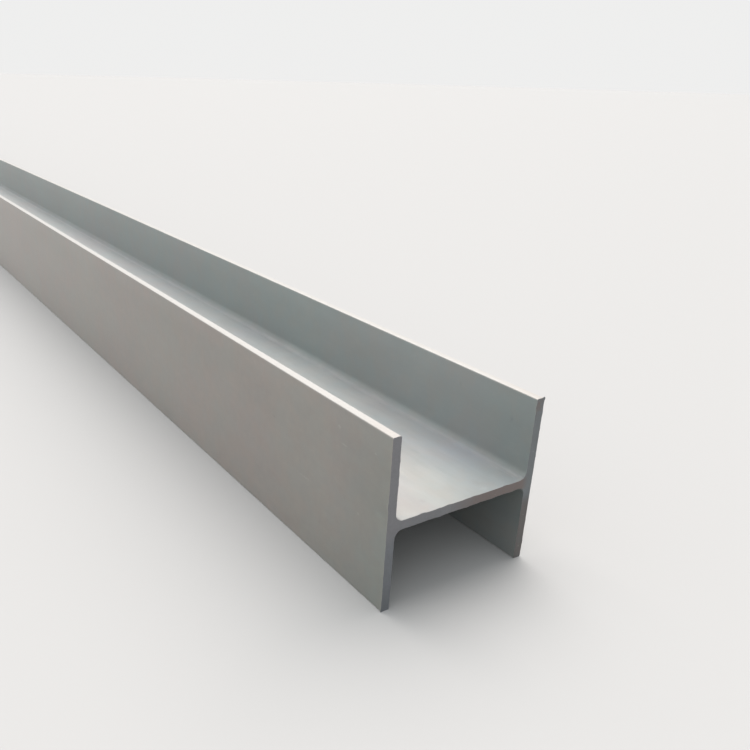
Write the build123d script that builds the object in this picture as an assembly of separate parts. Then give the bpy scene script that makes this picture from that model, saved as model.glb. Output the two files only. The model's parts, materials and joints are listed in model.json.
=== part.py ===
from build123d import *
import os

# Hot-rolled wide-flange steel beam, also called an H-beam: two parallel flanges and the
# web between them, rolled as one piece and sawn square to its stock length.
# It lies on the edges of its flanges with the web level, so there is an open
# channel above the web and another below it, both running the whole length.
# Sizes are in millimetres. X is across the flanges, Y is along the beam and Z is up.
# The origin is at floor level under the middle of the beam.

beam_length = 12000.0
section_depth = 308.0  # over the outer faces of the two flanges
flange_width = 310.0  # from edge to edge of a flange, so the beam's height as it lies
flange_thickness = 15.5
web_thickness = 15.4
root_radius = 15.0  # rolled fillet where the web meets a flange
edge_radius = 2.0  # rolled corners along the flange edges

flange_centre_x = (section_depth - flange_thickness) / 2
web_centre_z = flange_width / 2
web_span = 2 * flange_centre_x  # the web is drawn into both flanges, so the profile fuses


def section_profile():
    """The rolled section as it is seen from the end of the beam."""
    with BuildSketch(Plane.XZ) as section:
        with Locations((0, web_centre_z)):
            Rectangle(web_span, web_thickness)
        with Locations((-flange_centre_x, web_centre_z), (flange_centre_x, web_centre_z)):
            Rectangle(flange_thickness, flange_width)
        # Counted upwards, the corners lie in rows: flange edges, two web faces, flange edges.
        sharp_rows = section.vertices().group_by(Axis.Y)
        fillet(sharp_rows[1] + sharp_rows[2], root_radius)
        rooted_rows = section.vertices().group_by(Axis.Y)
        fillet(rooted_rows[0] + rooted_rows[-1], edge_radius)
    return section.sketch


def rolled_beam():
    """The section drawn out to the stock length, half each way from the middle."""
    return extrude(section_profile(), amount=beam_length / 2, both=True)


beam = rolled_beam()

os.makedirs("parts", exist_ok=True)
export_step(beam, "parts/h_beam.step")
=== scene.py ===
import json
import math
from types import SimpleNamespace

import bmesh
import bpy
from bpy.props import FloatProperty, FloatVectorProperty, PointerProperty
from mathutils import Matrix, Vector, kdtree, noise


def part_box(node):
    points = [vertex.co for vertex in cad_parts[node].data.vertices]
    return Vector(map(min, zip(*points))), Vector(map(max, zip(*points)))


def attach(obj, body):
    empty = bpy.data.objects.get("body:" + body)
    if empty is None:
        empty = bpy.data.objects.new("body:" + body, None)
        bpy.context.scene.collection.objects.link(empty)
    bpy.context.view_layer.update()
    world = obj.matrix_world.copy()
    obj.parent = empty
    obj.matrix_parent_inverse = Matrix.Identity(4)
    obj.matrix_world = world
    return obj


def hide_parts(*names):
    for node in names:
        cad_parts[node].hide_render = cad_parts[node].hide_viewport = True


bl_info = {
    "name": "Rolled steel beam",
    "version": (1, 0, 0),
    "blender": (4, 5, 0),
    "location": "View3D > Sidebar > Steel Beam",
    "description": "A wide-flange beam as it comes from the mill, with a pale studio around it",
    "category": "Object",
}

# Everything is in metres. X is across the flanges, Y is along the beam and Z is up.
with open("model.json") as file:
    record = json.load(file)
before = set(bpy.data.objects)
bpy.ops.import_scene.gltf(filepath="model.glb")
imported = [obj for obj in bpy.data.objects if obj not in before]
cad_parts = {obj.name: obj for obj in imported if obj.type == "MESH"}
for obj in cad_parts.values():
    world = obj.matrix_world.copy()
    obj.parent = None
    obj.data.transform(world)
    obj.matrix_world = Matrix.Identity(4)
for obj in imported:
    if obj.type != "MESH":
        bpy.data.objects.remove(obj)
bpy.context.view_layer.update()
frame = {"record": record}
beam_low, beam_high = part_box("h_beam")
mounts = {mount["name"]: mount["pos_m"] for mount in frame["record"]["mounts"]}
web_upper_z = mounts["web_face_upper"][2]
web_lower_z = mounts["web_face_lower"][2]
flange_middle_x = mounts["flange_edge_rest_right"][0]

# The mesh. Lengths are in metres here and in the tables below.
ROOT_SEGMENTS = 10
CORNER_SEGMENTS = 5
END_CUTS = (0.0008, 0.002, 0.004, 0.008, 0.016, 0.03, 0.06, 0.12, 0.2, 0.3, 0.4, 0.5)
CUT_STEP = 0.25  # between the cuts of the length, past the last of the end cuts
SHARP_ANGLE = math.radians(30)  # two faces that meet at more than this keep a sharp edge
ACROSS, ALONG, UPWARDS = Vector((1, 0, 0)), Vector((0, 1, 0)), Vector((0, 0, 1))
LONG_EDGE = 1.0  # an edge with more than this along Y runs from end to end
TOUCHING = 0.00001  # two points that are nearer than this are one
AT_END = 0.0001  # a point that is nearer to an end than this is on its sawn face
SLACK = 0.001  # how far a point may stand off the face that it belongs to
SKIN, SAWN = 0, 1  # the mesh's material slots

# What rolling and sawing did to the straight mesh.
RIM_DEPTH = 0.004  # how far in from an end the burrs reach
LEAN_FADE = 1.0  # length over which the cut's lean dies out, so that no face is sheared much
BURR_FLOOR = 0.1  # noise below this leaves the rim clean
LEAST_SIDEWAYS = 0.2  # a normal with less than this across the beam faces along it
# Each wave's height, and the scale and shift of its noise along X, Y and Z. For the last three, Y
# is -1 at the front end and 1 at the rear end. The burr's height is a share of the tallest.
WAVES = {
    "flange_bend": (0.0006, (3.0, 0.9, 3.0), (0.0, 0.0, 11.0)),
    "rise": (0.0005, (3.0, 1.1, 2.0), (5.0, 0.0, 0.0)),
    "saw_dapple": (0.00015, (130.0, 7.0, 130.0), (0.0, 0.0, 0.0)),
    "saw_sweep": (0.0002, (18.0, 3.0, 18.0), (0.0, 0.0, 0.0)),
    "burr": (1.0, (95.0, 5.0, 95.0), (2.0, 0.0, 0.0)),
}

# The OFBake map, from 0 to 1 each way. The skin is unrolled in its lower part,
# where the front end gets the most width, and the sawn faces stand side by side above it.
# The stops give a distance from the front end and its column.
LENGTH_STOPS = ((0.0, 0.002), (0.5, 0.152), (11.7, 0.948), (12.0, 0.998))
SKIN_ROWS = (0.838, 0.002)
SAWN_ROWS = (0.855, 0.998)
FRONT_COLUMNS = (0.002, 0.620)
REAR_COLUMNS = (0.998, 0.640)

# Noise of the materials, with the scale and shift of its space along X, Y and Z.
SKIN_CLOUDS = {
    "broad": {"fineness": 6.0, "scale": (1.0, 0.45, 1.0)},
    "patchy": {"fineness": 19.0, "detail": 4.0, "roughness": 0.6, "scale": (1.0, 0.6, 1.0)},
    "blotchy": {"fineness": 55.0, "detail": 4.0, "roughness": 0.65, "shift": (0.7, 0.2, 1.9)},
    "streaks": {"fineness": 60.0, "scale": (1.0, 0.035, 1.0)},
    "fine_streaks": {"fineness": 190.0, "detail": 2.0, "scale": (1.0, 0.03, 1.0)},
    "smears": {"fineness": 52.0, "roughness": 0.6, "distortion": 0.4,
               "shift": (0.4, 0.9, 2.7), "scale": (1.0, 0.16, 1.0)},
    "grain": {"fineness": 900.0, "detail": 2.0, "roughness": 0.6},
    "hue": {"fineness": 4.0, "detail": 2.0, "shift": (3.1, 1.7, 0.4)},
    "tint": {"fineness": 22.0, "roughness": 0.6, "shift": (5.1, 0.3, 2.4)},
    "dust": {"fineness": 30.0, "detail": 5.0, "roughness": 0.7,
             "shift": (1.3, 4.2, 0.1), "scale": (1.0, 0.5, 1.0)},
    "ragged": {"fineness": 260.0, "roughness": 0.6},
}
SAWN_CLOUDS = {
    "mottle": {"fineness": 45.0, "detail": 4.0, "roughness": 0.6},
    "speckle": {"fineness": 230.0, "roughness": 0.6},
    "grain": {"fineness": 700.0, "detail": 2.0},
    "film": {"fineness": 24.0, "detail": 4.0, "roughness": 0.65, "shift": (0.3, 0.0, 2.2)},
}
# How strongly each cloud lightens and darkens the skin: everywhere, and then how much more on the
# outer faces and on the web.
TONE_SHARES = (
    ("broad", 0.20, 0.0, 0.0),
    ("patchy", 0.12, 0.08, 0.0),
    ("blotchy", 0.08, 0.11, 0.0),
    ("streaks", 0.07, 0.0, 0.10),
    ("fine_streaks", 0.03, 0.0, 0.03),
    ("smears", 0.06, 0.0, 0.16),
    ("grain", 0.05, 0.0, 0.0),
)

# The darkest and the lightest share of a colour.
SKIN_LEVELS = (0.88, 1.12)
EDGE_LEVELS = (0.93, 1.07)
SAWN_LEVELS = (0.66, 1.34)
EDGE_COVER = 0.95  # how much of the bright flange edges shows
HUE_WANDER = 0.12  # how far the smears move the web's hues sideways

# Masks. Each is 0 up to its first number and 1 past its second, or the other way round.
MASKS = {
    # In from an outer face, and off the web's faces.
    "inside": (0.0022, 0.004),
    "on_web": (0.003, 0.0005),
    "by_web": (0.006, 0.002),
    "flange_foot_shade": (0.125, 0.030),
    # The roots: off the web's faces and off the flanges' inner faces.
    "root_height": (0.0092, 0.0022),
    "root_width": (0.0138, 0.0084),
    # Down from the upper edges, in from any flange edge, and outwards from an inner face.
    "flange_top": (0.055, 0.010),
    "on_edge": (0.0026, 0.0004),
    "corner_highlight": (0.0065, 0.002),
    # From the nearer end.
    "flange_end": (0.24, 0.0),
    "web_end": (0.08, 0.0),
    "edge_end": (0.10, 0.02),
    "patch_start": (0.05, 0.10),
    "patch_stop": (0.21, 0.15),
    # Along X on the skin.
    "right_half": (-0.1, 0.1),
    "web_shade_side": (-0.03, 0.08),
    "web_lit_side": (-0.02, -0.08),
    "patch_side": (0.05, 0.095),
    # The sawn faces: along X, up from the floor, off mid height, and past the right inner face.
    "sawn_right": (-0.16, 0.16),
    "sawn_lower": (0.150, 0.115),
    "web_height": (0.014, 0.007),
    "brown_web": (-0.05, 0.05),
    "brown_web_stop": (0.008, -0.010),
    "rust_and_shade_flange": (-0.004, 0.001),
    "brown_flange_top": (0.138, 0.105),
    # Reaches almost to the floor, where the darkening is painted shade.
    "brown_flange_low": (-0.035, 0.020),
    # Levels of noise.
    "tone": (-0.16, 0.16),
    "hue": (0.38, 0.62),
    "tint": (0.40, 0.60),
    "dust": (0.56, 0.74),
    "film": (0.10, 0.42),
}

# Colours that multiply the base colour.
TINTS = {
    "greener": (1.0, 1.02, 0.995),
    "browner": (1.025, 0.995, 0.98),
    "warmer": (1.018, 0.997, 0.985),
    "cooler": (0.982, 1.006, 1.015),
    # The outer faces', channels' and web's tints paint the colour of the light that falls on them.
    "left_outer_face_light": (0.98, 0.884, 0.860),
    "right_outer_face_light": (0.975, 0.912, 0.915),
    "channel": (0.985, 1.045, 1.085),
    "web": (1.02, 1.03, 1.06),
    # Painted light and shade on the web: warm on its lit left side, cool on its shaded right side.
    "web_shade_side": (0.985, 1.015, 1.07),
    "web_lit_side": (0.99, 0.955, 0.97),
    # Painted shade at the flanges' feet, and painted light by their top edges.
    "flange_foot_shade": (0.935, 0.95, 0.955),
    "flange_top": (1.07, 1.07, 1.07),
    "outer_end_low": (0.785, 0.925, 0.93),
    "outer_end_high": (0.87, 0.94, 0.94),
    "channel_end": (0.87, 0.87, 0.875),
    "web_end": (0.93, 0.93, 0.93),
    "blue_patch": (0.99, 1.035, 1.085),
    # A painted highlight along the flange edges' inner corners.
    "corner_highlight": (1.08, 1.08, 1.08),
    "edge_end": (0.985, 0.955, 0.935),
    "sawn_left": (1.20, 1.135, 1.14),
    "sawn_right": (0.93, 0.97, 0.96),
    "sawn_lower": (0.88, 0.935, 0.96),
    # Darkens the right flange's lower end: a dark film, with painted shade down by the floor.
    "rust_and_shade_flange": (0.775, 0.7885, 0.775),
}
# Colours that lie over the base colour, and how much of each shows.
COVERS = {
    # Painted shade in the roots' fillets.
    "root": ((0.02, 0.02, 0.025), 0.388),
    "dust": ((0.62, 0.60, 0.56), 0.07),
    "dark_specks": ((0.03, 0.03, 0.03), 0.16),
    "pale_specks": ((0.75, 0.73, 0.70), 0.22),
    "scuffs": ((0.70, 0.69, 0.67), 0.16),
    "chips": ((0.55, 0.53, 0.51), 0.45),
}
# Scattered marks: how fine their cells are, a mark's radius in its cell, the share of the cells
# that have one, and a seed.
SPECKS = {
    "dark_specks": (34.0, 0.10, 0.16, 0.0),
    "pale_specks": (60.0, 0.075, 0.05, 4.3),
    "rising_scuffs": (26.0, 0.030, 0.10, 1.1),
    "falling_scuffs": (31.0, 0.030, 0.08, 2.9),
    "chips": (130.0, 0.16, 0.035, 3.7),
}
# Turn and squash of the space that makes long scuffs out of round marks.
SCUFF_SPACES = {
    "rising_scuffs": {"turn": (math.radians(38), 0, 0), "scale": (1.0, 1.0, 0.05)},
    "falling_scuffs": {"turn": (math.radians(-24), 0, 0), "scale": (1.0, 1.0, 0.06)},
}
SEED_SHIFT = (1.0, 1.7, 0.6)  # how a seed of 1 shifts the cells
SPECK_CORE = 0.4  # share of a mark's radius within which it shows in full
LOT_EDGE = 0.01  # half the step between a cell that has a mark and one that has none
RIM_OF_SPOT = 1.25  # where a spot ends, as a share of its reach
RAGGED_BY = 2.6  # how far noise moves a spot's rim, as a share of its reach
BROAD_SPOT = 0.04  # a handling mark that reaches further than this along Y has a softer rim
DARK_MARK = (0.06, 0.06, 0.06)
PALE_MARK = (0.70, 0.69, 0.66)
# The brown spot at the right flange's upper end: how far it lies in the flange's thickness and
# below its top, and its reach.
TOE_IN = 0.002
TOE_DOWN = 0.012
TOE_REACH = (0.012, 0.012, 0.016)

# The studio. The picture's side and the place of the lens's axis in it are in pixels.
PICTURE_SIDE = 750
LENS_AXIS = (338, 420)
SENSOR_WIDTH = 36.0  # millimetres
CLIP_RANGE = (0.05, 500.0)
LAMP_DISTANCE = 5.0
FLOOR_SEGMENTS = 128

# Small marks near the front end, and one broad painted highlight on the web: centre, reach along X,
# Y and Z, and strength, which is below zero for a dark one.
HANDLING_MARKS_AND_HIGHLIGHT = (
    ((-0.154, -5.8641, 0.2737), (0.006, 0.0045, 0.004), 0.16),
    ((-0.154, -5.76, 0.135), (0.006, 0.02, 0.0022), 0.12),
    ((-0.154, -5.879, 0.2478), (0.006, 0.009, 0.0016), 0.16),
    ((-0.154, -5.9231, 0.1449), (0.006, 0.003, 0.0036), 0.12),
    ((-0.154, -5.9621, 0.2679), (0.006, 0.003, 0.0022), 0.12),
    ((-0.154, -5.65, 0.21), (0.006, 0.008, 0.003), -0.12),
    ((-0.154, -5.81, 0.07), (0.006, 0.004, 0.006), -0.1),
    ((0.1385, -5.9526, 0.2555), (0.006, 0.004, 0.0075), -0.16),
    ((0.1385, -5.736, 0.1965), (0.006, 0.024, 0.006), -0.06),
    ((0.1385, -5.94, 0.1785), (0.006, 0.026, 0.006), -0.05),
    ((0.1385, -5.82, 0.276), (0.006, 0.005, 0.0046), -0.08),
    ((-0.0606, -5.9678, 0.1627), (0.008, 0.006, 0.006), -0.1),
    ((0.0431, -5.8195, 0.1627), (0.006, 0.016, 0.006), -0.07),
    ((0.0574, -5.9657, 0.1627), (0.009, 0.012, 0.006), -0.09),
    ((0.0549, -5.9894, 0.1627), (0.008, 0.007, 0.006), 0.08),
    ((0.0342, -5.8999, 0.1627), (0.005, 0.02, 0.006), -0.06),
    ((-0.03, -5.86, 0.1627), (0.006, 0.03, 0.006), 0.1),
    ((-0.08, -5.945, 0.1627), (0.045, 0.055, 0.02), -0.1),
    ((0.01, -5.905, 0.1627), (0.026, 0.055, 0.02), 0.1),
    # A broad pale patch on the web: a painted highlight, not a mark.
    ((0.03, -5.38, 0.1627), (0.15, 0.3, 0.02), 0.14),
)
# Lumps of the saw's burr on the front end's rim: x, z, reach and height.
BURR_LUMPS = (
    (-0.086, 0.1627, 0.006, 0.0017),
    (-0.034, 0.1627, 0.0055, 0.001),
    (-0.1225, 0.164, 0.004, 0.0008),
    (0.06, 0.1473, 0.006, 0.0009),
    (-0.1385, 0.23, 0.006, 0.0008),
    (0.154, 0.31, 0.0045, 0.0022),
    (0.1385, 0.294, 0.0036, 0.0012),
    (0.1385, 0.277, 0.003, 0.001),
    (0.1385, 0.256, 0.003, 0.0011),
    (0.022, 0.1627, 0.005, 0.0009),
    (0.09, 0.1627, 0.0044, 0.001),
    (-0.05, 0.1473, 0.005, 0.0012),
    (0.008, 0.1473, 0.006, 0.0013),
    (0.105, 0.1473, 0.0044, 0.0012),
    (-0.154, 0.0, 0.006, 0.0016),
)


class BeamSettings(bpy.types.PropertyGroup):
    """Sizes and colours of the steel beam."""

    section_depth: FloatProperty(
        name="Section depth", description="Over the outer faces of the two flanges",
        default=beam_high.x - beam_low.x, unit="LENGTH")
    flange_width: FloatProperty(
        name="Flange width", description="From edge to edge of a flange",
        default=beam_high.z - beam_low.z, unit="LENGTH")
    flange_thickness: FloatProperty(
        name="Flange thickness", description="Through a flange",
        default=2 * (beam_high.x - flange_middle_x), unit="LENGTH")
    web_thickness: FloatProperty(
        name="Web thickness", description="Through the web",
        default=web_upper_z - web_lower_z, unit="LENGTH")
    root_radius: FloatProperty(
        name="Root radius", description="Rolled fillet between the web and a flange",
        default=0.015, unit="LENGTH")
    edge_radius: FloatProperty(
        name="Edge radius", description="Rolled corners along the flange edges",
        default=0.002, unit="LENGTH")
    beam_length: FloatProperty(
        name="Length", description="Stock length between the sawn ends",
        default=beam_high.y - beam_low.y, unit="LENGTH")
    grid_step: FloatProperty(
        name="Mesh step", description="Distance between the cuts across the section",
        default=0.005, unit="LENGTH")
    burr_height: FloatProperty(
        name="Burr height", description="Tallest lump that the saw left on an end's rim",
        default=0.0016, unit="LENGTH")
    cut_lean: FloatProperty(
        name="Cut lean", description="How far the saw's cut leans out of square towards the top",
        default=math.radians(1.04), subtype="ANGLE")
    cut_turn: FloatProperty(
        name="Cut turn", description="How far the saw's cut turns out of square to one side",
        default=math.radians(0.26), subtype="ANGLE")
    mill_colour: FloatVectorProperty(
        name="Mill surface", description="Colour of the rolled skin",
        default=(0.320, 0.327, 0.321), size=3, subtype="COLOR", min=0, max=1)
    # The edges' brightness is partly wear and partly a painted highlight.
    edge_colour: FloatVectorProperty(
        name="Flange edges", description="Colour of the brighter flange edges",
        default=(0.412, 0.407, 0.400), size=3, subtype="COLOR", min=0, max=1)
    sawn_colour: FloatVectorProperty(
        name="Sawn end", description="Colour of the sawn faces",
        default=(0.196, 0.211, 0.227), size=3, subtype="COLOR", min=0, max=1)
    rust_colour: FloatVectorProperty(
        name="Rust film", description="Colour of the thin rust on the sawn faces",
        default=(0.212, 0.175, 0.166), size=3, subtype="COLOR", min=0, max=1)

    @property
    def outer_x(self):
        return self.section_depth / 2

    @property
    def inner_x(self):
        return self.outer_x - self.flange_thickness

    @property
    def middle_z(self):
        return self.flange_width / 2

    @property
    def half_web(self):
        return self.web_thickness / 2

    @property
    def half_length(self):
        return self.beam_length / 2


class StageSettings(bpy.types.PropertyGroup):
    """Sizes, colours and light levels of the studio."""

    floor_radius: FloatProperty(
        name="Floor radius", description="Radius of the round floor",
        default=90.0, unit="LENGTH")
    floor_colour: FloatVectorProperty(
        name="Floor", description="Colour of the floor",
        default=(0.526, 0.532, 0.545), size=3, subtype="COLOR", min=0, max=1)
    floor_bounce: FloatVectorProperty(
        name="Floor bounce", description="Colour with which the floor lights the beam",
        default=(0.25, 0.245, 0.235), size=3, subtype="COLOR", min=0, max=1)
    backdrop_colour: FloatVectorProperty(
        name="Backdrop", description="Colour of the studio behind the floor",
        default=(0.86, 0.86, 0.855), size=3, subtype="COLOR", min=0, max=1)
    room_light: FloatProperty(
        name="Room light", description="Level of the even light from all round",
        default=0.55, min=0)
    room_colour: FloatVectorProperty(
        name="Room colour", description="Colour of the even light from all round",
        default=(0.97, 0.98, 0.96), size=3, subtype="COLOR", min=0, max=1)
    key_colour: FloatVectorProperty(
        name="Key colour", description="Colour of the broad lamp behind the beam",
        default=(1.0, 0.93, 0.87), size=3, subtype="COLOR", min=0, max=1)
    fill_colour: FloatVectorProperty(
        name="Fill colour", description="Colour of the broad lamp above the beam's left side",
        default=(0.90, 0.94, 0.93), size=3, subtype="COLOR", min=0, max=1)
    key_light: FloatProperty(
        name="Key light", description="Level of the broad lamp behind the beam",
        default=3.1, min=0)
    key_spread: FloatProperty(
        name="Key spread", description="How broad the key lamp looks from the beam",
        default=math.radians(70), subtype="ANGLE")
    key_bearing: FloatProperty(
        name="Key bearing", description="Turn of the key lamp from +Y towards +X",
        default=math.radians(34), subtype="ANGLE")
    key_height: FloatProperty(
        name="Key height", description="Angle of the key lamp above the floor",
        default=math.radians(57), subtype="ANGLE")
    fill_light: FloatProperty(
        name="Fill light", description="Level of the broad lamp above the beam's left side",
        default=0.95, min=0)
    fill_spread: FloatProperty(
        name="Fill spread", description="How broad the fill lamp looks from the beam",
        default=math.radians(130), subtype="ANGLE")
    fill_bearing: FloatProperty(
        name="Fill bearing", description="Turn of the fill lamp from +Y towards +X",
        default=math.radians(-95), subtype="ANGLE")
    fill_height: FloatProperty(
        name="Fill height", description="Angle of the fill lamp above the floor",
        default=math.radians(60), subtype="ANGLE")
    focal_length: FloatProperty(
        name="Focal length", description="Camera lens in millimetres on a 36 mm sensor",
        default=37.213)
    camera_place: FloatVectorProperty(
        name="Camera", description="Where the camera stands",
        default=(-0.7815, -6.788, 0.7824), size=3, subtype="TRANSLATION", unit="LENGTH")
    camera_bearing: FloatProperty(
        name="Camera bearing", description="Turn of the view from +Y towards +X",
        default=math.radians(34.03), subtype="ANGLE")
    camera_tilt: FloatProperty(
        name="Camera tilt", description="Angle of the view below level",
        default=math.radians(24.00), subtype="ANGLE")
    camera_roll: FloatProperty(
        name="Camera roll", description="Rise of the picture's right side",
        default=math.radians(1.585), subtype="ANGLE")


class Value:
    """A socket that takes part in sums, each of which adds a Math node."""

    def __init__(self, graph, socket):
        self.graph = graph
        self.socket = socket

    def other(self, out):
        """Another output of the same node."""
        return Value(self.graph, self.socket.node.outputs[out])

    def sum_of(self, operation, *values):
        return self.graph.add("ShaderNodeMath", {"operation": operation}, dict(enumerate(values)))

    def __add__(self, other):
        return self.sum_of("ADD", self, other)

    def __radd__(self, other):
        return self.sum_of("ADD", other, self)

    def __sub__(self, other):
        return self.sum_of("SUBTRACT", self, other)

    def __rsub__(self, other):
        return self.sum_of("SUBTRACT", other, self)

    def __mul__(self, other):
        return self.sum_of("MULTIPLY", self, other)

    def __rmul__(self, other):
        return self.sum_of("MULTIPLY", other, self)

    def __abs__(self):
        return self.sum_of("ABSOLUTE", self)

    def at_least(self, other):
        return self.sum_of("MAXIMUM", self, other)

    def at_most(self, other):
        return self.sum_of("MINIMUM", self, other)


class Graph:
    """One node tree. Every node is added by its type, its settings and its sockets."""

    def __init__(self, tree):
        self.tree = tree
        self.tree.nodes.clear()

    def add(self, kind, settings=None, sockets=None, out=0):
        """Adds a node and gives one of its outputs, or None for a node that has none."""
        node = self.tree.nodes.new(kind)
        for name, setting in (settings or {}).items():
            setattr(node, name, setting)
        for key, given in (sockets or {}).items():
            if isinstance(given, Value):
                self.tree.links.new(given.socket, node.inputs[key])
            else:
                node.inputs[key].default_value = given
        return Value(self, node.outputs[out]) if node.outputs else None

    def place(self):
        """The point of the surface, in the beam's own metres."""
        return self.add("ShaderNodeTexCoord", out="Object")

    def axes(self, vector):
        x = self.add("ShaderNodeSeparateXYZ", None, {0: vector})
        return x, x.other(1), x.other(2)

    def turned(self, vector, shift=(0, 0, 0), turn=(0, 0, 0), scale=(1, 1, 1)):
        sockets = {"Vector": vector, "Location": shift, "Rotation": turn, "Scale": scale}
        return self.add("ShaderNodeMapping", {"vector_type": "POINT"}, sockets)

    def cloud(self, place, fineness, detail=3.0, roughness=0.55, distortion=0.0, **space):
        """Even noise from 0 to 1, in a space that may be shifted and scaled."""
        vector = self.turned(place, **space) if space else place
        sockets = {"Vector": vector, "Scale": fineness, "Detail": detail,
                   "Roughness": roughness, "Distortion": distortion}
        return self.add("ShaderNodeTexNoise", {"normalize": True}, sockets)

    def step(self, value, low, high, smooth=True):
        """0 below low and 1 above high, or the other way round where low is the larger."""
        kind = "SMOOTHSTEP" if smooth else "LINEAR"
        settings = {"interpolation_type": kind, "clamp": True}
        ends = (low, high, 0.0, 1.0) if low < high else (high, low, 1.0, 0.0)
        return self.add("ShaderNodeMapRange", settings, dict(enumerate((value, *ends))))

    def mask(self, name, value, smooth=True):
        return self.step(value, *MASKS[name], smooth)

    def spot(self, vector, centre, reach, ragged):
        """1 in the middle of a small mark round a point, and 0 outside its ragged rim."""
        kind = "ShaderNodeVectorMath"
        from_centre = self.add(kind, {"operation": "SUBTRACT"}, {0: vector, 1: centre})
        scaled = self.add(kind, {"operation": "DIVIDE"}, {0: from_centre, 1: reach})
        away = self.add(kind, {"operation": "LENGTH"}, {0: scaled}, out="Value")
        return self.step(away + (ragged - 0.5) * RAGGED_BY, RIM_OF_SPOT, 0.0)

    def specks(self, vector, name):
        """Scattered small marks: one in a cell, in a share of the cells."""
        fineness, radius, share, seed = SPECKS[name]
        settings = {"voronoi_dimensions": "3D", "feature": "F1"}
        cell = self.turned(vector, shift=[seed * axis for axis in SEED_SHIFT])
        sockets = {"Vector": cell, "Scale": fineness}
        away = self.add("ShaderNodeTexVoronoi", settings, sockets, out="Distance")
        drawn = self.axes(away.other("Color"))[0]
        chosen = self.step(drawn, share + LOT_EDGE, share - LOT_EDGE)
        return self.step(away, radius, radius * SPECK_CORE) * chosen

    def blend(self, share, first, second, kind="MIX"):
        """A colour that goes from first to second as share goes from 0 to 1."""
        settings = {"data_type": "RGBA", "blend_type": kind, "clamp_factor": True}
        colours = [given if isinstance(given, Value) else shade(given) for given in (first, second)]
        return self.add("ShaderNodeMix", settings, {0: share, 6: colours[0], 7: colours[1]}, out=2)

    def spread(self, level, colour, levels):
        """A colour from its darkest to its lightest as level goes from 0 to 1."""
        darkest, lightest = levels
        return self.blend(level, shade(colour, darkest), shade(colour, lightest))

    def tint(self, base, colour, share=1.0):
        """The base colour multiplied by another one, as far as share says."""
        return self.blend(share, base, colour, "MULTIPLY")

    def cover(self, base, name, mask):
        """The base colour with another one thinly over it where the mask says so."""
        colour, share = COVERS[name]
        return self.blend(mask * share, base, colour)

    def bump(self, height, strength, distance):
        sockets = {"Strength": strength, "Distance": distance, "Height": height}
        return self.add("ShaderNodeBump", None, sockets)

    def seen(self):
        """1 for the rays of the eye, of mirrors and of glass, which see the studio as pale."""
        ray = self.add("ShaderNodeLightPath", out="Is Camera Ray")
        return ray.at_least(ray.other("Is Glossy Ray")).at_least(ray.other("Is Transmission Ray"))

    def finish(self, sockets):
        """Ends a material in its Principled shader."""
        shader = self.add("ShaderNodeBsdfPrincipled", None, sockets)
        self.add("ShaderNodeOutputMaterial", None, {"Surface": shader})


def shade(colour, level=1.0):
    return (colour[0] * level, colour[1] * level, colour[2] * level, 1.0)


def new_material(name, colour, roughness):
    material = bpy.data.materials.new(name)
    material.use_nodes = True
    material.diffuse_color = shade(colour)
    material.roughness = roughness
    return material


def where_on_beam(graph, settings):
    """Where a point of the surface lies on the beam, in metres."""
    at = SimpleNamespace(place=graph.place())
    at.x, at.y, at.z = graph.axes(at.place)
    at.from_middle = abs(at.z - settings.middle_z)
    return at


def where_on_skin(graph, settings):
    """The same for the skin, with the masks that tell its faces apart."""
    at = where_on_beam(graph, settings)
    at.sideways = abs(at.x)
    at.off_web = at.from_middle - settings.half_web
    at.off_flange = settings.inner_x - at.sideways
    at.below_top = settings.flange_width - at.z
    at.to_end = settings.half_length - abs(at.y)
    at.inside = graph.mask("inside", settings.outer_x - at.sideways)
    at.on_web = graph.mask("on_web", at.off_web) * at.inside
    at.by_web = graph.mask("by_web", at.off_web) * at.inside
    at.on_flange = 1.0 - at.on_web
    return at


def skin_tone(graph, settings, at, clouds):
    """The skin's own colour, lighter and darker in clouds and streaks, and tinted in patches."""
    outside = 1.0 - at.inside
    tone = 0.0
    for name, everywhere, more_outside, more_on_web in TONE_SHARES:
        share = everywhere
        if more_outside:
            share = share + outside * more_outside
        if more_on_web:
            share = share + at.on_web * more_on_web
        tone = tone + (clouds[name] - 0.5) * share
    level = graph.mask("tone", tone, smooth=False)
    base = graph.spread(level, settings.mill_colour, SKIN_LEVELS)
    hue = graph.mask("hue", clouds["hue"])
    base = graph.tint(base, graph.blend(hue, TINTS["greener"], TINTS["browner"]))
    patch = graph.mask("tint", clouds["tint"])
    return graph.tint(base, graph.blend(patch, TINTS["warmer"], TINTS["cooler"]))


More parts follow.
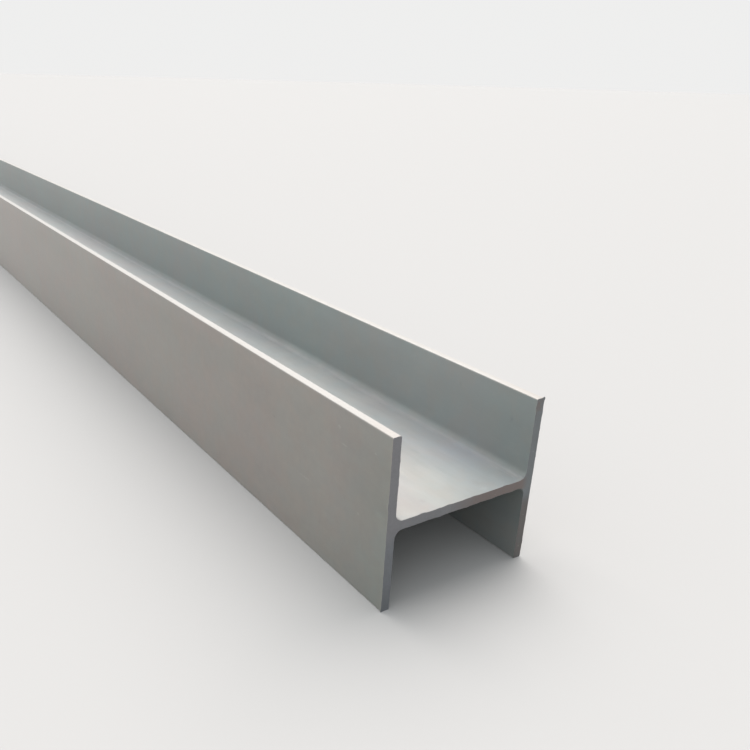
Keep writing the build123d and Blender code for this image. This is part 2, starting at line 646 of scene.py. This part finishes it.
def paint_light_and_shade(graph, at, clouds, base):
    """Paints light and shade on the skin: each face takes the hue of its light, painted shade dulls
    the flanges' feet and the roots, and painted light brightens the flanges' tops.
    """
    # Painted light: the outer faces are browner than the channels, the left one most, for warm
    # light from below, and the channels and the web are bluer, for cool light from above.
    right_half = graph.mask("right_half", at.x, smooth=False)
    face = graph.blend(right_half, TINTS["left_outer_face_light"], TINTS["right_outer_face_light"])
    face = graph.blend(at.inside, face, TINTS["channel"])
    base = graph.tint(base, graph.blend(at.on_web, face, TINTS["web"]))
    # Painted light and shade: the web is pinker on its left side, where warm light is painted, and
    # bluer towards its right one, where cool shade is painted.
    across = at.x + (clouds["smears"] - 0.5) * HUE_WANDER
    base = graph.tint(base, TINTS["web_shade_side"], at.by_web * graph.mask("web_shade_side", across))
    base = graph.tint(base, TINTS["web_lit_side"], at.by_web * graph.mask("web_lit_side", across))
    # Painted shade and light: the flanges are duller down by the web, in the channels' corners, and
    # brighter up by their top edges.
    foot = graph.mask("flange_foot_shade", at.off_web) * at.inside * at.on_flange
    base = graph.tint(base, TINTS["flange_foot_shade"], foot)
    base = graph.tint(base, TINTS["flange_top"], graph.mask("flange_top", at.below_top))
    # Painted shade: the fillets in the roots are a little duller than the faces that they join.
    root = graph.mask("root_width", at.off_flange) * graph.mask("root_height", at.off_web)
    return graph.cover(base, "root", root * at.inside)


def tint_ends(graph, settings, at, base):
    """Makes the skin darker and cooler towards the sawn ends, most low on the outer faces."""
    upwards = graph.step(at.z, 0.0, settings.flange_width, smooth=False)
    dulled = graph.blend(upwards, TINTS["outer_end_low"], TINTS["outer_end_high"])
    dulled = graph.blend(at.inside, dulled, TINTS["channel_end"])
    base = graph.tint(base, dulled, graph.mask("flange_end", at.to_end) * at.on_flange)
    base = graph.tint(base, TINTS["web_end"], graph.mask("web_end", at.to_end) * at.on_web)
    # The web has a blue patch by its right root.
    patch = graph.mask("patch_start", at.to_end) * graph.mask("patch_stop", at.to_end)
    patch = patch * graph.mask("patch_side", at.x) * at.by_web
    return graph.tint(base, TINTS["blue_patch"], patch)


def lay_marks(graph, at, clouds, base):
    """Marks of handling near the front end, and a broad painted highlight on the web."""
    for centre, reach, strength in HANDLING_MARKS_AND_HIGHLIGHT:
        rim = clouds["patchy"] if reach[1] > BROAD_SPOT else clouds["ragged"]
        mark = graph.spot(at.place, centre, reach, rim)
        colour = DARK_MARK if strength < 0 else PALE_MARK
        base = graph.blend(mark * abs(strength), base, colour)
    return base


def edge_tone(graph, settings, at, clouds):
    """The flange edges' colour: worn steel brightened by a painted highlight, most along their
    inner corners, and warmer at the ends.
    """
    worn_and_highlit = graph.spread(clouds["blotchy"], settings.edge_colour, EDGE_LEVELS)
    corner_highlight = graph.mask("corner_highlight", at.sideways - settings.inner_x)
    worn_and_highlit = graph.tint(worn_and_highlit, TINTS["corner_highlight"], corner_highlight)
    return graph.tint(worn_and_highlit, TINTS["edge_end"], graph.mask("edge_end", at.to_end))


def mill_skin(settings):
    """Rolled grey skin: clouds, streaks along the beam, thin dust, specks and a few scuffs, under
    painted light, shade and highlights.
    """
    material = new_material("mill_skin", settings.mill_colour, 0.4)
    graph = Graph(material.node_tree)
    at = where_on_skin(graph, settings)
    clouds = {name: graph.cloud(at.place, **look) for name, look in SKIN_CLOUDS.items()}

    base = skin_tone(graph, settings, at, clouds)
    base = paint_light_and_shade(graph, at, clouds, base)
    base = tint_ends(graph, settings, at, base)

    dusty = graph.mask("dust", clouds["dust"])
    base = graph.cover(base, "dust", dusty)
    dark_specks = graph.specks(at.place, "dark_specks")
    base = graph.cover(base, "dark_specks", dark_specks)
    base = graph.cover(base, "pale_specks", graph.specks(at.place, "pale_specks"))
    scuffs = 0.0
    for name, space in SCUFF_SPACES.items():
        scuffs = scuffs + graph.specks(graph.turned(at.place, **space), name)
    scuffs = scuffs.at_most(1.0)
    base = graph.cover(base, "scuffs", scuffs)
    base = lay_marks(graph, at, clouds, base)
    # The flange edges: wear with a painted highlight over it.
    on_edge = graph.mask("on_edge", settings.middle_z - at.from_middle)
    base = graph.blend(on_edge * EDGE_COVER, base, edge_tone(graph, settings, at, clouds))

    patchy, grain = clouds["patchy"], clouds["grain"]
    roughness = 0.48 + (patchy - 0.5) * 0.10 + (clouds["streaks"] - 0.5) * 0.06 + dusty * 0.05
    roughness = roughness + (grain - 0.5) * 0.06 - on_edge * 0.04 - scuffs * 0.06
    height = grain * 0.4 + patchy * 0.4 + clouds["fine_streaks"] * 0.3 - dark_specks * 0.5
    graph.finish({
        "Base Color": base, "Roughness": roughness, "Metallic": 0.1, "IOR": 1.8,
        "Sheen Weight": 0.4, "Sheen Roughness": 0.3, "Normal": graph.bump(height, 0.3, 0.0002)})
    return material


def sawn_face(settings):
    """Sawn end: dark grey steel with fine blade marks, under a thin brown film in places."""
    material = new_material("sawn_face", settings.sawn_colour, 0.5)
    graph = Graph(material.node_tree)
    at = where_on_beam(graph, settings)
    past_inner = at.x - settings.inner_x
    clouds = {name: graph.cloud(at.place, **look) for name, look in SAWN_CLOUDS.items()}
    mottle, speckle, grain = clouds["mottle"], clouds["speckle"], clouds["grain"]
    blade = graph.add(
        "ShaderNodeTexWave",
        {"wave_type": "RINGS", "rings_direction": "Y", "wave_profile": "SIN"},
        {"Vector": graph.turned(at.place, shift=(0.62, 0.0, 0.35)), "Scale": 160.0,
         "Distortion": 1.2, "Detail": 2.0, "Detail Scale": 3.0}, out=1)

    level = mottle * 0.46 + blade * 0.10 + speckle * 0.30 + grain * 0.14
    base = graph.spread(level, settings.sawn_colour, SAWN_LEVELS)
    rightwards = graph.mask("sawn_right", at.x, smooth=False)
    base = graph.tint(base, graph.blend(rightwards, TINTS["sawn_left"], TINTS["sawn_right"]))
    base = graph.tint(base, TINTS["sawn_lower"], graph.mask("sawn_lower", at.z))

    # The film is brown from the web's middle to its right end and down the right flange.
    film = graph.mask("film", clouds["film"])
    web_end = graph.mask("web_height", at.from_middle) * graph.mask("brown_web", at.x)
    web_end = web_end * graph.mask("brown_web_stop", past_inner)
    low_end = graph.mask("rust_and_shade_flange", past_inner) * graph.mask("brown_flange_top", at.z)
    low_end = low_end * graph.mask("brown_flange_low", at.z)
    toe = (settings.inner_x + TOE_IN, -settings.half_length, settings.flange_width - TOE_DOWN)
    toe_spot = graph.spot(at.place, toe, TOE_REACH, speckle)
    browned = (0.08 + web_end * 0.80 + low_end * 0.60 + toe_spot * 0.7).at_most(1.0)
    base = graph.blend(film * browned, base, settings.rust_colour)
    # The right flange's lower half is darker, a dark film with painted shade where it reaches down
    # to the floor, and small pale chips show bright steel.
    base = graph.tint(base, TINTS["rust_and_shade_flange"], low_end)
    base = graph.cover(base, "chips", graph.specks(at.place, "chips"))

    roughness = 0.50 + (mottle - 0.5) * 0.15 + film * browned * 0.10
    height = blade * 0.6 + grain * 0.4 + speckle * 0.3
    graph.finish({
        "Base Color": base, "Roughness": roughness, "Metallic": 0.5,
        "Normal": graph.bump(height, 0.35, 0.0003)})
    return material


def section_outline(bm, settings):
    """The H-shaped front end: a three by three grid less its two open cells, as one face."""
    bmesh.ops.create_grid(bm, x_segments=3, y_segments=3, size=1.0)
    outer, inner = settings.outer_x, settings.inner_x
    middle, web = settings.middle_z, settings.half_web
    columns = (-outer, -inner, inner, outer)
    rows = (0.0, middle - web, middle + web, settings.flange_width)
    for vert in bm.verts:
        # The grid's four columns and rows lie evenly from -1 to 1.
        column = round((vert.co.x + 1) * 1.5)
        row = round((vert.co.y + 1) * 1.5)
        vert.co = (columns[column], -settings.half_length, rows[row])
    openings = []
    for face in bm.faces:
        centre = face.calc_center_median()
        if abs(centre.x) < inner and abs(centre.z - middle) > web:
            openings.append(face)
    bmesh.ops.delete(bm, geom=openings, context="FACES")
    bmesh.ops.dissolve_faces(bm, faces=bm.faces[:])


def draw_out(bm, settings):
    """Draws the front end's face out to the beam's length."""
    grown = bmesh.ops.extrude_face_region(bm, geom=bm.faces[:])
    far_verts = [part for part in grown["geom"] if isinstance(part, bmesh.types.BMVert)]
    bmesh.ops.translate(bm, vec=ALONG * settings.beam_length, verts=far_verts)


def round_lengthwise(bm, near, radius, segments):
    """Rounds the edges along the beam whose place in the section passes the test."""
    edges = []
    for edge in bm.edges:
        start, end = (vert.co for vert in edge.verts)
        if abs(start.y - end.y) > LONG_EDGE and near(start.x, start.z):
            edges.append(edge)
    bmesh.ops.bevel(
        bm, geom=edges, offset=radius, offset_type="OFFSET", segments=segments,
        profile=0.5, affect="EDGES", material=-1)


def round_section(bm, settings):
    """The four roots, and then the eight corners of the flange edges."""
    inner, middle, web = settings.inner_x, settings.middle_z, settings.half_web

    def in_root(x, z):
        return abs(abs(x) - inner) < TOUCHING and abs(z - middle) < web + SLACK

    def on_corner(x, z):
        return abs(z - middle) > middle - TOUCHING

    round_lengthwise(bm, in_root, settings.root_radius, ROOT_SEGMENTS)
    round_lengthwise(bm, on_corner, settings.edge_radius, CORNER_SEGMENTS)
    bmesh.ops.recalc_face_normals(bm, faces=bm.faces[:])


def cut_across(bm, places, axis):
    """Cuts every face at these distances along an axis."""
    for place in places:
        geometry = bm.verts[:] + bm.edges[:] + bm.faces[:]
        bmesh.ops.bisect_plane(
            bm, geom=geometry, dist=TOUCHING, plane_co=axis * place, plane_no=axis)


def steps_between(low, high, step):
    count = max(1, round((high - low) / step))
    return [low + (high - low) * index / count for index in range(1, count)]


def cut_grid(bm, settings):
    """Cuts the faces into a grid, so that there are points for the waves and burrs to move."""
    inner, middle, web = settings.inner_x, settings.middle_z, settings.half_web
    root, step = settings.root_radius, settings.grid_step
    lower = steps_between(0.0, middle - web - root, step)
    upper = [settings.flange_width - place for place in lower]
    in_web = steps_between(middle - web, middle + web, step)
    cut_across(bm, lower + in_web + upper, UPWARDS)
    in_flange = steps_between(inner, settings.outer_x, step)
    over_web = steps_between(-inner + root, inner - root, step)
    cut_across(bm, [-place for place in in_flange] + over_web + in_flange, ACROSS)
    by_end = [settings.half_length - place for place in END_CUTS]
    between_ends = steps_between(-by_end[-1], by_end[-1], CUT_STEP)
    cut_across(bm, [-place for place in by_end] + between_ends + by_end, ALONG)


def outline_points(bm, settings):
    """The front end's outline in order, as a tree of its points, with the way round to each."""
    front = -settings.half_length + AT_END
    beside = {}
    for edge in bm.edges:
        at_front = all(vert.co.y < front for vert in edge.verts)
        if at_front and any(face.material_index == SKIN for face in edge.link_faces):
            first, second = edge.verts
            beside.setdefault(first, []).append(second)
            beside.setdefault(second, []).append(first)
    start = min(beside, key=lambda vert: (round(vert.co.z, 4), vert.co.x))
    walked = [start]
    before, here = None, start
    while True:
        ahead = [vert for vert in beside[here] if vert is not before]
        before, here = here, ahead[0]
        if here is start:
            break
        walked.append(here)
    tree = kdtree.KDTree(len(walked))
    way = [0.0]
    for index, vert in enumerate(walked):
        tree.insert((vert.co.x, 0.0, vert.co.z), index)
        after = walked[(index + 1) % len(walked)]
        way.append(way[-1] + (after.co - vert.co).length)
    tree.balance()
    return tree, way


def part_way(ends, share):
    low, high = ends
    return low + (high - low) * share


def skin_column(from_front):
    """How far along the picture a point of the skin lies, by its distance from the front end."""
    for (start, low), (end, high) in zip(LENGTH_STOPS, LENGTH_STOPS[1:]):
        if from_front <= end + AT_END:
            break
    return part_way((low, high), (from_front - start) / (end - start))


def skin_places(face, tree, way, settings):
    """The picture's places for a skin face: along the beam, and down by the way round it."""
    total = way[-1]
    corners = [loop.vert.co for loop in face.loops]
    round_it = [way[tree.find((corner.x, 0.0, corner.z))[1]] for corner in corners]
    if max(round_it) - min(round_it) > total / 2:
        # The face closes the round, so its corners at the start count as lying past the end.
        round_it = [place + total if place < total / 2 else place for place in round_it]
    columns = [skin_column(corner.y + settings.half_length) for corner in corners]
    rows = [part_way(SKIN_ROWS, place / total) for place in round_it]
    return zip(columns, rows)


def sawn_places(face, settings):
    """The picture's places for a piece of a sawn face, which stands in it upright."""
    ends = FRONT_COLUMNS if face.calc_center_median().y < 0 else REAR_COLUMNS
    corners = [loop.vert.co for loop in face.loops]
    across = [(corner.x + settings.outer_x) / settings.section_depth for corner in corners]
    up = [corner.z / settings.flange_width for corner in corners]
    return [(part_way(ends, column), part_way(SAWN_ROWS, row)) for column, row in zip(across, up)]


def lay_out_bake(bm, settings):
    """The OFBake map, which no material reads."""
    tree, way = outline_points(bm, settings)
    layer = bm.loops.layers.uv.new("OFBake")
    for face in bm.faces:
        if face.material_index == SAWN:
            places = sawn_places(face, settings)
        else:
            places = skin_places(face, tree, way, settings)
        for loop, place in zip(face.loops, places):
            loop[layer].uv = place


def wave_at(name, point):
    """The height of a wave at a point."""
    height, scale, shift = WAVES[name]
    stretched = [place * by + further for place, by, further in zip(point, scale, shift)]
    return noise.noise(Vector(stretched)) * height


def rolled_wave(place, settings):
    """Long waves: the flanges bend a little in and out, and everything rises and falls."""
    wave = Vector((0.0, 0.0, wave_at("rise", place)))
    if abs(place.x) > settings.inner_x - SLACK:
        reach = abs(place.z - settings.middle_z) / settings.middle_z
        wave.x = wave_at("flange_bend", place) * reach
    return wave


def burr_at(on_end, settings):
    """How far the rim of an end stands out, as a share of the burr height."""
    lump = max(0.0, wave_at("burr", on_end) - BURR_FLOOR)
    if on_end.y < 0:
        for lump_x, lump_z, reach, height in BURR_LUMPS:
            away = math.hypot(on_end.x - lump_x, on_end.z - lump_z)
            lump += height / settings.burr_height * math.exp(-(away / reach) ** 2)
    return lump


def rumple(bm, settings):
    """Gives the straight mesh the small waves of rolling and the rough ends of sawing."""
    lean, turn = math.tan(settings.cut_lean), math.tan(settings.cut_turn)
    bm.normal_update()
    moves = []
    for vert in bm.verts:
        place = vert.co.copy()
        move = rolled_wave(place, settings)
        from_end = settings.half_length - abs(place.y)
        side = 1.0 if place.y > 0 else -1.0
        on_end = Vector((place.x, side, place.z))
        if from_end < AT_END:
            # The saw leaves the face a little uneven.
            move.y += side * (wave_at("saw_dapple", on_end) + wave_at("saw_sweep", on_end))
        if from_end < LEAN_FADE:
            # The saw's cut is a little out of square.
            shift = lean * (place.z - settings.middle_z) + turn * place.x
            move.y -= shift * (1.0 - from_end / LEAN_FADE)
        if from_end < RIM_DEPTH:
            # The rim has burrs and small steps.
            out = vert.normal.copy()
            out.y = 0.0
            if out.length > LEAST_SIDEWAYS:
                out.normalize()
                fade = 1.0 - from_end / RIM_DEPTH
                move += out * burr_at(on_end, settings) * fade * settings.burr_height
        moves.append((vert, move))
    for vert, move in moves:
        vert.co += move
        vert.co.z = max(vert.co.z, 0.0)


def beam_mesh(settings):
    """The rolled beam, open along both channels and sawn at both ends."""
    bm = bmesh.new()
    section_outline(bm, settings)
    draw_out(bm, settings)
    round_section(bm, settings)
    cut_grid(bm, settings)
    sawn_from = settings.half_length - AT_END
    for face in bm.faces:
        face.smooth = True
        at_end = min(abs(vert.co.y) for vert in face.verts) > sawn_from
        face.material_index = SAWN if at_end else SKIN
    lay_out_bake(bm, settings)
    rumple(bm, settings)
    bm.normal_update()
    for edge in bm.edges:
        edge.smooth = edge.calc_face_angle(0.0) < SHARP_ANGLE
    return bm


def mesh_from(bm, name):
    mesh = bpy.data.meshes.new(name)
    bm.to_mesh(mesh)
    bm.free()
    return mesh


class STEEL_OT_beam(bpy.types.Operator):
    """Makes the steel beam in place of its plain solid"""

    bl_idname = "steel.beam"
    bl_label = "Make the steel beam"
    bl_options = {"REGISTER", "UNDO"}

    def execute(self, context):
        settings = context.scene.steel_beam
        bm = beam_mesh(settings)
        open_edges = [edge for edge in bm.edges if not edge.is_manifold]
        if open_edges:
            raise RuntimeError(f"the beam's skin is open at {len(open_edges)} edges")
        mesh = mesh_from(bm, "steel_beam")
        mesh.materials.append(mill_skin(settings))
        mesh.materials.append(sawn_face(settings))
        beam = bpy.data.objects.new("steel_beam", mesh)
        context.scene.collection.objects.link(beam)
        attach(beam, "root")
        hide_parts("h_beam")
        return {"FINISHED"}


def floor_material(settings):
    """Plain pale floor, which lights the beam in a darker colour of its own."""
    material = new_material("studio_floor", settings.floor_colour, 0.9)
    graph = Graph(material.node_tree)
    colour = graph.blend(graph.seen(), settings.floor_bounce, settings.floor_colour)
    graph.finish({"Base Color": colour, "Roughness": 0.9, "Specular IOR Level": 0.1})
    return material


def studio_room(settings):
    """Even light from all round, which eye, mirror and glass rays see as a pale backdrop."""
    world = bpy.data.worlds.new("studio_room")
    world.use_nodes = True
    graph = Graph(world.node_tree)
    sockets = {"Color": shade(settings.room_colour), "Strength": settings.room_light}
    light = graph.add("ShaderNodeBackground", None, sockets)
    sockets = {"Color": shade(settings.backdrop_colour), "Strength": 1.0}
    pale = graph.add("ShaderNodeBackground", None, sockets)
    mixed = graph.add("ShaderNodeMixShader", None, {0: graph.seen(), 1: light, 2: pale})
    graph.add("ShaderNodeOutputWorld", None, {"Surface": mixed})
    return world


def lamp_from(name, bearing, height, strength, spread, colour):
    """A broad far lamp that shines from a bearing and height towards the beam."""
    lamp = bpy.data.lights.new(name, "SUN")
    lamp.energy = strength
    lamp.angle = spread
    lamp.color = colour
    item = bpy.data.objects.new(name, lamp)
    level = math.cos(height)
    towards = Vector((math.sin(bearing) * level, math.cos(bearing) * level, math.sin(height)))
    item.rotation_euler = towards.to_track_quat("Z", "Y").to_euler()
    item.location = towards * LAMP_DISTANCE
    bpy.context.scene.collection.objects.link(item)


def picture_camera(settings):
    """The camera, with the picture's frame taken as square."""
    camera = bpy.data.cameras.new("camera")
    camera.lens = settings.focal_length
    camera.sensor_width = SENSOR_WIDTH
    camera.shift_x = (PICTURE_SIDE / 2 - LENS_AXIS[0]) / PICTURE_SIDE
    camera.shift_y = (LENS_AXIS[1] - PICTURE_SIDE / 2) / PICTURE_SIDE
    camera.clip_start, camera.clip_end = CLIP_RANGE
    item = bpy.data.objects.new("camera", camera)
    bearing = Matrix.Rotation(-settings.camera_bearing, 4, "Z")
    tilt = Matrix.Rotation(math.pi / 2 - settings.camera_tilt, 4, "X")
    roll = Matrix.Rotation(settings.camera_roll, 4, "Z")
    item.matrix_world = Matrix.Translation(settings.camera_place) @ bearing @ tilt @ roll
    bpy.context.scene.collection.objects.link(item)
    bpy.context.scene.camera = item


class STEEL_OT_stage(bpy.types.Operator):
    """Makes the pale floor, the soft light and the camera"""

    bl_idname = "steel.stage"
    bl_label = "Make the studio"
    bl_options = {"REGISTER", "UNDO"}

    def execute(self, context):
        settings = context.scene.steel_stage
        bm = bmesh.new()
        bmesh.ops.create_circle(
            bm, cap_ends=True, radius=settings.floor_radius, segments=FLOOR_SEGMENTS)
        mesh = mesh_from(bm, "floor")
        mesh.materials.append(floor_material(settings))
        floor = bpy.data.objects.new("floor", mesh)
        context.scene.collection.objects.link(floor)
        context.scene.world = studio_room(settings)
        lamp_from("key_lamp", settings.key_bearing, settings.key_height,
                  settings.key_light, settings.key_spread, settings.key_colour)
        lamp_from("fill_lamp", settings.fill_bearing, settings.fill_height,
                  settings.fill_light, settings.fill_spread, settings.fill_colour)
        picture_camera(settings)
        context.scene.view_settings.view_transform = "Standard"
        return {"FINISHED"}


class STEEL_PT_tools(bpy.types.Panel):
    """Makes the beam and its studio"""

    bl_label = "Steel beam"
    bl_idname = "STEEL_PT_tools"
    bl_space_type = "VIEW_3D"
    bl_region_type = "UI"
    bl_category = "Steel Beam"

    def draw(self, context):
        layout = self.layout
        layout.operator(STEEL_OT_beam.bl_idname)
        layout.operator(STEEL_OT_stage.bl_idname)
        scene = context.scene
        for name, settings in (("Beam", scene.steel_beam), ("Studio", scene.steel_stage)):
            box = layout.box()
            box.label(text=name)
            for key in settings.__annotations__:
                box.prop(settings, key)


classes = (BeamSettings, StageSettings, STEEL_OT_beam, STEEL_OT_stage, STEEL_PT_tools)


def register():
    for item in classes:
        bpy.utils.register_class(item)
    bpy.types.Scene.steel_beam = PointerProperty(type=BeamSettings)
    bpy.types.Scene.steel_stage = PointerProperty(type=StageSettings)


def unregister():
    del bpy.types.Scene.steel_stage
    del bpy.types.Scene.steel_beam
    for item in reversed(classes):
        bpy.utils.unregister_class(item)


def main():
    register()
    bpy.ops.steel.beam()
    bpy.ops.steel.stage()


if __name__ == "__main__":
    main()
